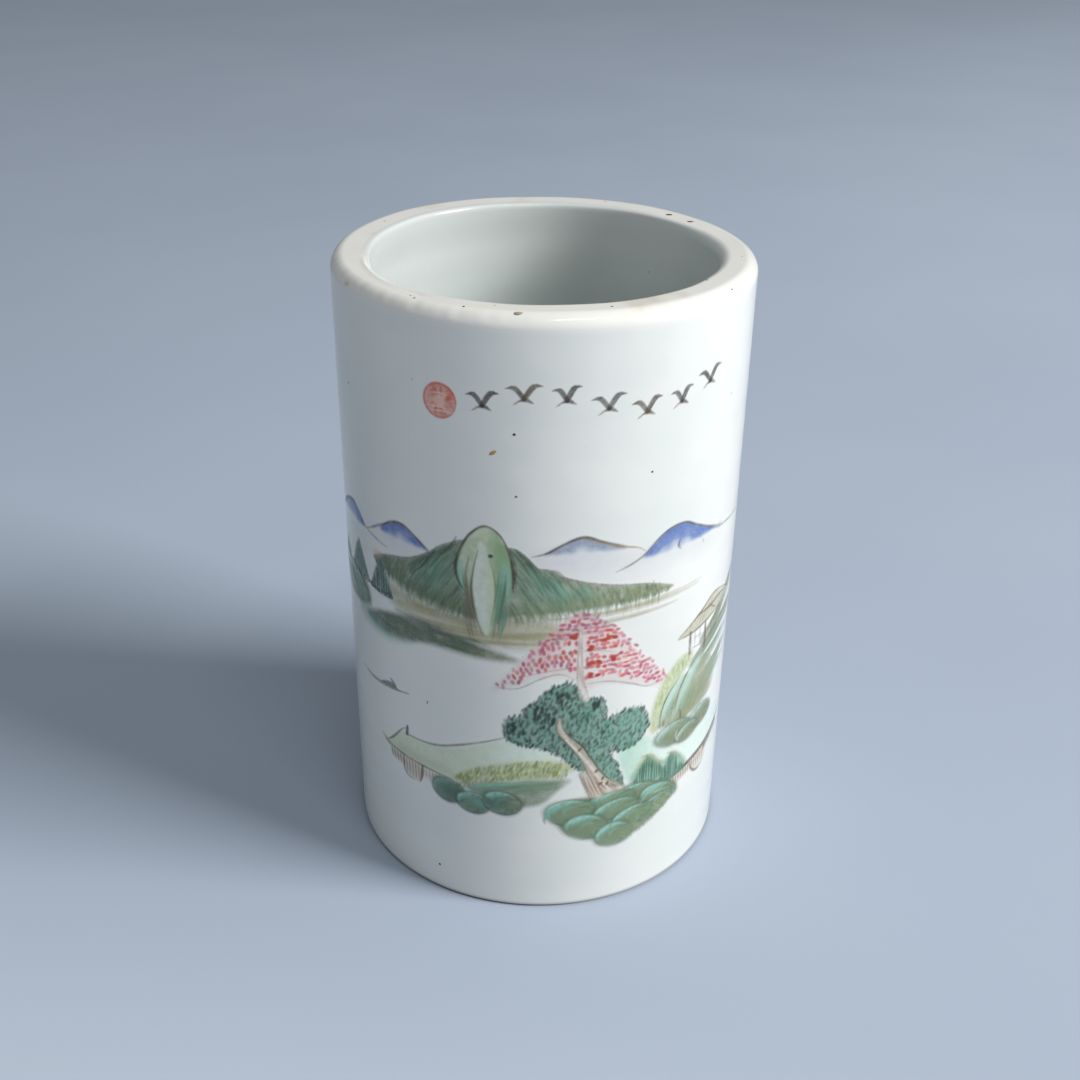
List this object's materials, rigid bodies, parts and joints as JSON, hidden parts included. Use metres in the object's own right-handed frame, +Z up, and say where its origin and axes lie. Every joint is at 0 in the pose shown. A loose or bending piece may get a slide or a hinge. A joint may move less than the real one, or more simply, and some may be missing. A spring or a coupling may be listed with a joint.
{
  "type": "brush holder pot",
  "caption": "Straight glazed porcelain cylinder with a thick rounded lip and a foot ring, open at the top to hold writing brushes, painted with a landscape.",
  "frame": {"origin": "middle of the circle that the foot ring stands on", "axes": "+Z up along the pot's axis; the painted front faces -Y, and +X is to the viewer's right"},
  "size_m": [0.082, 0.0821, 0.1295],
  "materials": {
    "porcelain_body": "fired, unglazed, fine matt",
    "foot_biscuit": "fired, unglazed, rubbed and slightly stained",
    "clear_glaze": "glossy, faint blue-green tint",
    "blue_enamel": "translucent overglaze enamel, glossy",
    "green_enamel": "translucent overglaze enamel, glossy",
    "pale_green_enamel": "translucent overglaze enamel, glossy",
    "teal_enamel": "translucent overglaze enamel, glossy",
    "pink_enamel": "opaque overglaze enamel, satin",
    "bark_enamel": "thin overglaze wash with fine lines",
    "yellow_green_enamel": "translucent overglaze enamel, glossy",
    "mint_enamel": "very thin overglaze wash, glossy",
    "brown_ink": "iron-brown painting, semi-matt",
    "iron_red": "iron-red painting, semi-matt"
  },
  "bodies": {
    "root": {"cylinder_wall": "porcelain_body", "floor_disc": "porcelain_body", "foot_ring": "foot_biscuit", "outer_glaze": "clear_glaze", "inner_glaze": "clear_glaze", "base_glaze": "clear_glaze", "far_hills": "blue_enamel", "main_mountain": "green_enamel", "mountain_dome": "pale_green_enamel", "cypress_pair": "teal_enamel", "shore_strokes": "green_enamel", "blossom_canopy": "pink_enamel", "tree_trunks": "bark_enamel", "pine_foliage": "teal_enamel", "front_rocks": "green_enamel", "left_rocks": "green_enamel", "left_bank": "pale_green_enamel", "hedges": "yellow_green_enamel", "right_hillside": "green_enamel", "right_rocks": "green_enamel", "reeds": "teal_enamel", "mint_wash": "mint_enamel", "pavilion": "brown_ink", "timber_work": "brown_ink", "boat": "brown_ink", "geese": "brown_ink", "sun_disc": "iron_red"}
  },
  "joints": []
}
